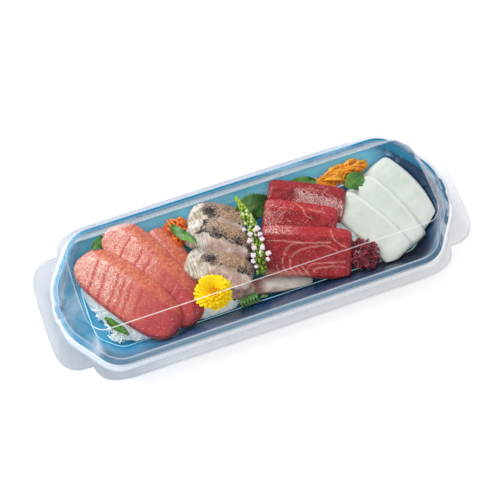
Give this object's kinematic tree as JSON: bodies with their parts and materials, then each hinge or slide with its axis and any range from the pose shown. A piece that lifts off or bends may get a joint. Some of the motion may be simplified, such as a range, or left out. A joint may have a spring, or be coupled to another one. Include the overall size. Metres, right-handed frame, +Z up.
{
  "type": "sashimi tray",
  "caption": "Sliced raw fish and squid with radish, carrot, leaf, seaweed and flower garnish in a shallow eight-sided blue tray under a clear domed lid with a wide flange",
  "frame": {"origin": "on the flat the tray rests on, under the middle of the pack", "axes": "+X along the tray towards the squid end, +Y to the back long side, +Z up"},
  "size_m": [0.3, 0.118, 0.044],
  "materials": {
    "tray_plastic": "glossy blue formed sheet",
    "lid_plastic": "clear thin formed plastic sheet",
    "fatty_tuna": "moist coral pink flesh",
    "sea_bream": "moist pale flesh with seared skin",
    "red_tuna": "moist deep red flesh",
    "squid": "satin white flesh",
    "silver_fish": "moist flesh with silver skin",
    "radish": "wet white shreds",
    "carrot": "orange shreds",
    "petals": "soft yellow petals",
    "flower_spike": "green buds",
    "leaf": "green leaf",
    "seaweed": "wet dark red fronds"
  },
  "bodies": {
    "root": {"tray": "tray_plastic", "lid": "lid_plastic", "fatty_tuna_back": "fatty_tuna", "fatty_tuna_middle": "fatty_tuna", "fatty_tuna_front": "fatty_tuna", "sea_bream_back": "sea_bream", "sea_bream_second": "sea_bream", "sea_bream_third": "sea_bream", "sea_bream_front": "sea_bream", "red_tuna_back": "red_tuna", "red_tuna_middle": "red_tuna", "red_tuna_front": "red_tuna", "squid_right": "squid", "squid_middle": "squid", "squid_left": "squid", "silver_slice": "silver_fish", "radish_bed_left": "radish", "radish_bed_middle": "radish", "radish_bed_right": "radish", "carrot_left": "carrot", "carrot_right": "carrot", "chrysanthemum": "petals", "shiso_flower_spike": "flower_spike", "shiso_leaf": "leaf", "leaf_left_of_bream": "leaf", "leaf_behind_squid": "leaf", "leaf_under_fatty_tuna": "leaf", "leaf_near_edge": "leaf", "leaf_behind_red_tuna": "leaf", "leaf_behind_fatty_tuna": "leaf", "red_seaweed": "seaweed"}
  },
  "joints": []
}
